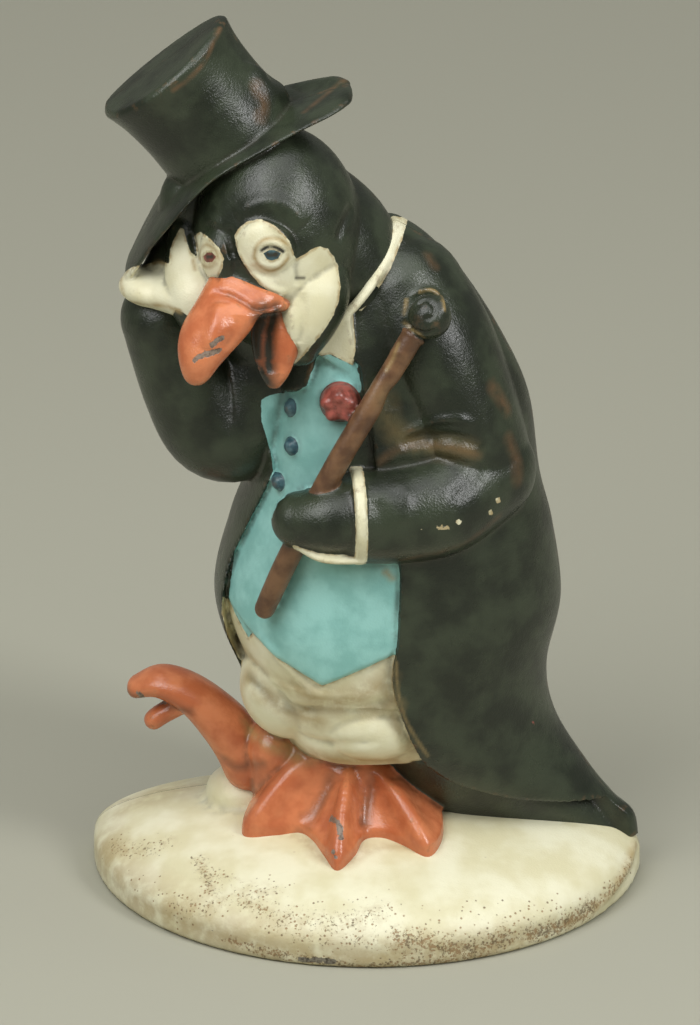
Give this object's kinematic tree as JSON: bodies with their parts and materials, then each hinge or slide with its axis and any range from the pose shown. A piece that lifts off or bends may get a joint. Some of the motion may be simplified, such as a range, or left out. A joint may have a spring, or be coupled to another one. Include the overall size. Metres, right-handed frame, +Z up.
{
  "type": "doorstop",
  "caption": "Painted cast iron doorstop: a penguin in evening dress tips its top hat and holds a cane, in two hollow halves screwed together on an oval mound.",
  "frame": {"origin": "middle of the underside, where the doorstop stands on the floor", "axes": "+Z up, the figure faces -Y, +X towards the coat's tail"},
  "size_m": [0.1462, 0.0918, 0.2431],
  "materials": {
    "black_enamel": "hand-brushed gloss enamel on sand-cast iron, worn on the ridges",
    "cream_enamel": "hand-brushed satin enamel on sand-cast iron, brown pitting on the mound",
    "orange_enamel": "gloss enamel with small chips",
    "blue_enamel": "satin enamel",
    "red_enamel": "gloss enamel",
    "brown_enamel": "satin enamel",
    "navy_enamel": "gloss enamel",
    "screw_steel": "dull zinc-plated machine screw"
  },
  "bodies": {
    "root": {"front_casting": "black_enamel", "rear_casting": "black_enamel", "upper_screw": "screw_steel", "lower_screw": "screw_steel"}
  },
  "joints": []
}
